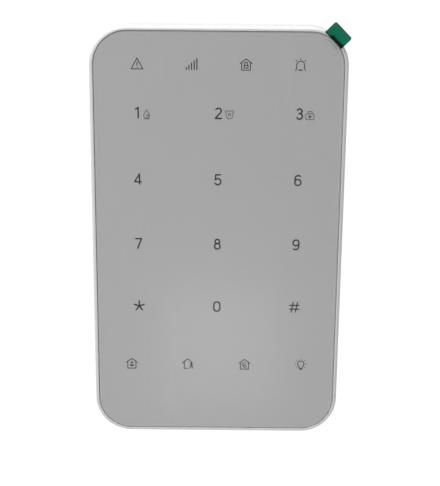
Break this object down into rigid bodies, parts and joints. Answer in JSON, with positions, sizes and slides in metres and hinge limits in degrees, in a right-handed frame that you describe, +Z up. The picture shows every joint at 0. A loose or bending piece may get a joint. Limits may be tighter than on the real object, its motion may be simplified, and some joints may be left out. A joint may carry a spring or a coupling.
{
  "type": "alarm keypad panel",
  "caption": "Slim rounded wall keypad with one flat touch panel, printed digits and signs, film with a pull tab, screwed wall bracket and open battery bay.",
  "frame": {"origin": "middle of the bracket's back face, on the wall", "axes": "+Z up the wall, front faces -Y, +Y into the wall, +X to the right seen from the front"},
  "size_m": [0.0933, 0.0241, 0.157],
  "materials": {
    "white_case": "satin moulded ABS",
    "bracket_plastic": "matt moulded ABS",
    "panel_plastic": "polished acrylic, grey behind",
    "dark_print": "screen print",
    "light_print": "screen print",
    "film": "clear polyester film",
    "green_tape": "green polyester tape",
    "adhesive": "foam tape",
    "diffuser": "translucent white sheet",
    "circuit_board": "solder mask",
    "led": "clear resin",
    "chip": "moulded epoxy",
    "tin_can": "tinned sheet",
    "steel": "zinc plated",
    "gold_strip": "plated strip",
    "brass": "machined",
    "capacitor": "can with sleeve",
    "black_plastic": "moulded",
    "ivory_plastic": "moulded nylon",
    "ribbon": "white film cable",
    "cell_steel": "nickel plated",
    "cell_sleeve": "printed sleeve, blank",
    "button_plastic": "moulded",
    "label": "blank foil label"
  },
  "bodies": {
    "bracket": {"wall_bracket": "bracket_plastic"},
    "screw_carrier": {"lock_washer": "ivory_plastic"},
    "lock": {"lock_screw": "steel"},
    "case": {"rear_cover": "white_case", "lock_insert": "brass", "rear_label": "label", "case_screws": "steel", "front_frame": "white_case", "panel_adhesive": "adhesive", "front_panel": "panel_plastic", "key_legend": "dark_print", "hint_legend": "light_print", "diffuser_sheet": "diffuser", "touch_board": "circuit_board", "backlight_leds": "led", "main_board": "circuit_board", "board_screws": "steel", "control_chips": "chip", "crystal_can": "tin_can", "radio_can": "tin_can", "antenna_strip": "gold_strip", "capacitors": "capacitor", "buzzer": "black_plastic", "ribbon_cable": "ribbon", "ribbon_connectors": "ivory_plastic", "contact_plates": "tin_can", "negative_springs": "steel", "cell_cans": "cell_steel", "cell_sleeves": "cell_sleeve", "tamper_switch": "black_plastic", "tamper_spring": "steel", "pair_switch": "black_plastic"},
    "tamper": {"tamper_plunger": "ivory_plastic"},
    "pairing": {"pair_button": "button_plastic"},
    "film": {"protective_film": "film", "pull_tab": "green_tape"}
  },
  "joints": [
    {"name": "case_slide", "type": "slide", "parent": "bracket", "child": "case", "axis": [0, 0, 1], "range_m": [0, 0.008]},
    {"name": "tamper_travel", "type": "slide", "parent": "case", "child": "tamper", "axis": [0, 1, 0], "range_m": [0, 0.001], "deforming": ["tamper_spring"]},
    {"name": "pair_press", "type": "slide", "parent": "case", "child": "pairing", "axis": [0, -1, 0], "range_m": [0, 0.0005], "stiffness_N_per_m": 3000},
    {"name": "film_lift", "type": "slide", "parent": "case", "child": "film", "axis": [0, -1, 0], "range_m": [0, 0.03]},
    {"name": "lock_feed", "type": "slide", "parent": "bracket", "child": "screw_carrier", "axis": [0, 0, 1], "range_m": [0, 0.00335]},
    {"name": "lock_turn", "type": "hinge", "parent": "screw_carrier", "child": "lock", "pos_m": [0, -0.0067, -0.0724], "axis": [0, 0, 1], "range_deg": [0, 2412]}
  ],
  "couplings": [
    {"joint": "tamper_travel", "follows": "case_slide", "ratio": 0.125},
    {"joint": "lock_turn", "follows": "lock_feed", "rad_per_m": 12566}
  ]
}
